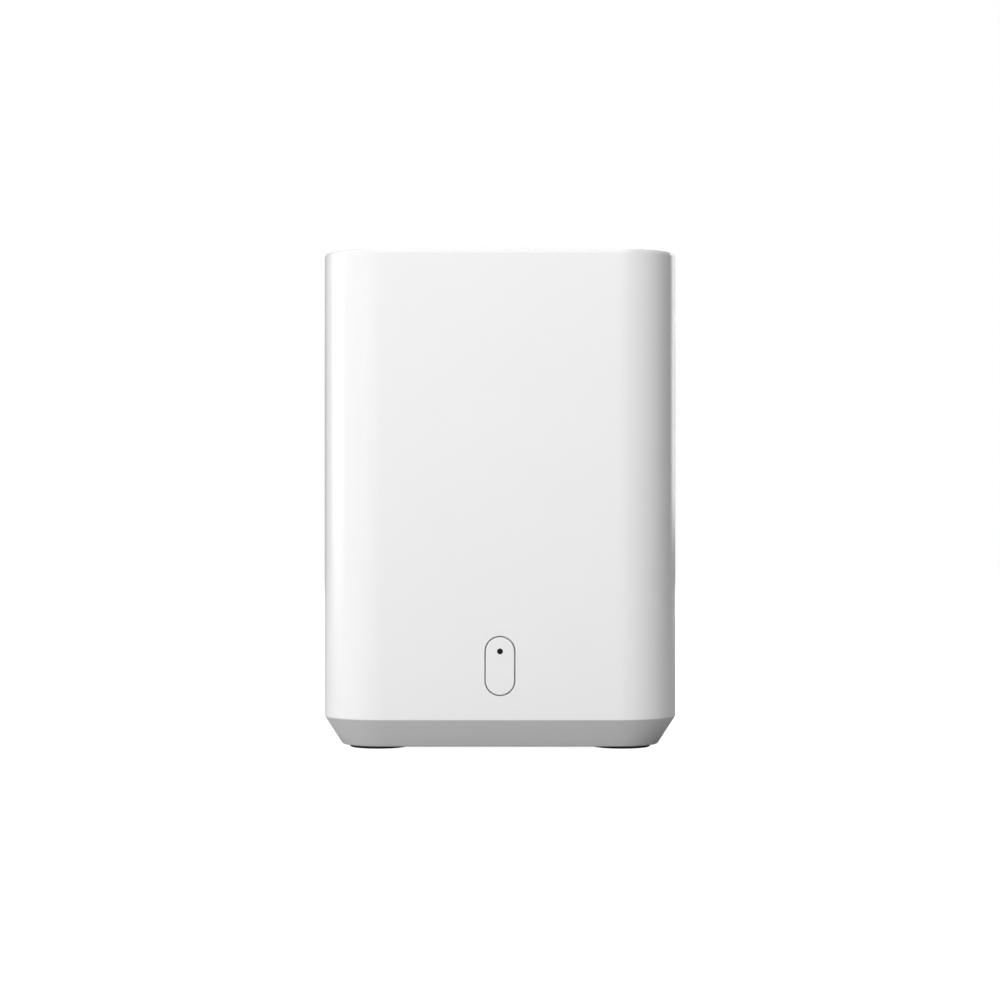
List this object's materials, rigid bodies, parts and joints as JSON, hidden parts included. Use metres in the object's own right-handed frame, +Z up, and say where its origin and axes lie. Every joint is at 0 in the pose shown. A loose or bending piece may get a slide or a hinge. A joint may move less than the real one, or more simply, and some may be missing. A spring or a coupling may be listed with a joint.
{
  "type": "wireless router",
  "caption": "Upright wireless router in a rounded-square tower case, with a grey sloping base, an oval front button with a status lens, a slotted top and a recessed port bay at the back.",
  "frame": {"origin": "middle of the footprint, on the surface the feet stand on", "axes": "+Z up; the front with the oval button faces -Y; the port bay faces +Y; +X is the viewer's right from the front"},
  "size_m": [0.1, 0.1, 0.1404],
  "materials": {
    "case_white": "satin moulded plastic",
    "base_grey": "satin moulded plastic",
    "button_white": "satin moulded plastic",
    "smoked_lens": "smoked clear plastic",
    "foot_rubber": "soft matt rubber",
    "label_film": "blank printed film",
    "bay_white": "fine textured moulded plastic",
    "frame_plastic": "glass-filled plastic",
    "black_plastic": "moulded plastic",
    "ivory_plastic": "moulded plastic",
    "board_green": "solder-masked fibreglass",
    "chip_black": "moulded resin",
    "can_steel": "tinned sheet steel",
    "pad_blue": "soft thermal pad",
    "sink_aluminium": "extruded aluminium",
    "capacitor_sleeve": "shrink sleeve",
    "inductor_grey": "moulded ferrite",
    "jack_blue": "moulded plastic",
    "jack_yellow": "moulded plastic",
    "contact_gold": "gold-plated bronze",
    "led_window": "clear plastic",
    "pin_steel": "nickel-plated pin",
    "rocker_black": "semi-gloss plastic",
    "reset_ivory": "moulded plastic",
    "antenna_gold": "pressed brass sheet",
    "cable_grey": "cable sheath",
    "ribbon_white": "flat film cable",
    "screw_steel": "zinc-plated steel"
  },
  "bodies": {
    "case": {"outer_sleeve": "case_white", "top_cover": "case_white", "base_tray": "base_grey", "port_bay": "bay_white", "inner_frame": "frame_plastic", "rating_label": "label_film", "foot_front_left": "foot_rubber", "foot_front_right": "foot_rubber", "foot_rear_left": "foot_rubber", "foot_rear_right": "foot_rubber", "button_bracket": "frame_plastic", "button_board": "board_green", "button_switch": "black_plastic", "status_led": "ivory_plastic", "ribbon_cable": "ribbon_white", "ribbon_connectors": "ivory_plastic", "main_board": "board_green", "processor": "chip_black", "memory_chips": "chip_black", "flash_chip": "chip_black", "radio_chips": "chip_black", "shield_can_left": "can_steel", "shield_can_right": "can_steel", "rear_shield_can": "can_steel", "thermal_pads": "pad_blue", "heat_sink": "sink_aluminium", "heat_spreader": "sink_aluminium", "ethernet_transformers": "black_plastic", "filter_capacitors": "capacitor_sleeve", "power_inductors": "inductor_grey", "wan_jack": "jack_blue", "wan_jack_shield": "can_steel", "wan_jack_contacts": "contact_gold", "lan_1_jack": "jack_yellow", "lan_1_jack_shield": "can_steel", "lan_1_jack_contacts": "contact_gold", "lan_2_jack": "jack_yellow", "lan_2_jack_shield": "can_steel", "lan_2_jack_contacts": "contact_gold", "jack_led_windows": "led_window", "dc_jack_body": "black_plastic", "dc_jack_pin": "pin_steel", "power_switch_housing": "black_plastic", "reset_switch": "black_plastic", "antenna_left": "antenna_gold", "antenna_right": "antenna_gold", "antenna_front_left": "antenna_gold", "antenna_front_right": "antenna_gold", "antenna_connectors": "contact_gold", "antenna_cables": "cable_grey", "base_screws": "screw_steel", "board_screws": "screw_steel", "heat_sink_screws": "screw_steel", "button_screws": "screw_steel"},
    "front_button": {"front_button": "button_white", "light_pipe": "smoked_lens"},
    "switch_plunger": {"button_switch_plunger": "ivory_plastic"},
    "rocker": {"power_rocker": "rocker_black"},
    "reset": {"reset_plunger": "reset_ivory"}
  },
  "joints": [
    {"name": "front_button_press", "type": "slide", "parent": "case", "child": "front_button", "axis": [0, 1, 0], "range_m": [0, 0.0004], "stiffness_N_per_m": 900},
    {"name": "switch_plunger_press", "type": "slide", "parent": "case", "child": "switch_plunger", "axis": [0, 1, 0], "range_m": [0, 0.0005]},
    {"name": "power_rocker_tilt", "type": "hinge", "parent": "case", "child": "rocker", "pos_m": [-0.016, 0.0374, 0.0475], "axis": [0, 0, -1], "range_deg": [0, 18]},
    {"name": "reset_press", "type": "slide", "parent": "case", "child": "reset", "axis": [0, -1, 0], "range_m": [0, 0.0003], "stiffness_N_per_m": 600}
  ],
  "couplings": [
    {"joint": "switch_plunger_press", "follows": "front_button_press", "ratio": 1}
  ]
}
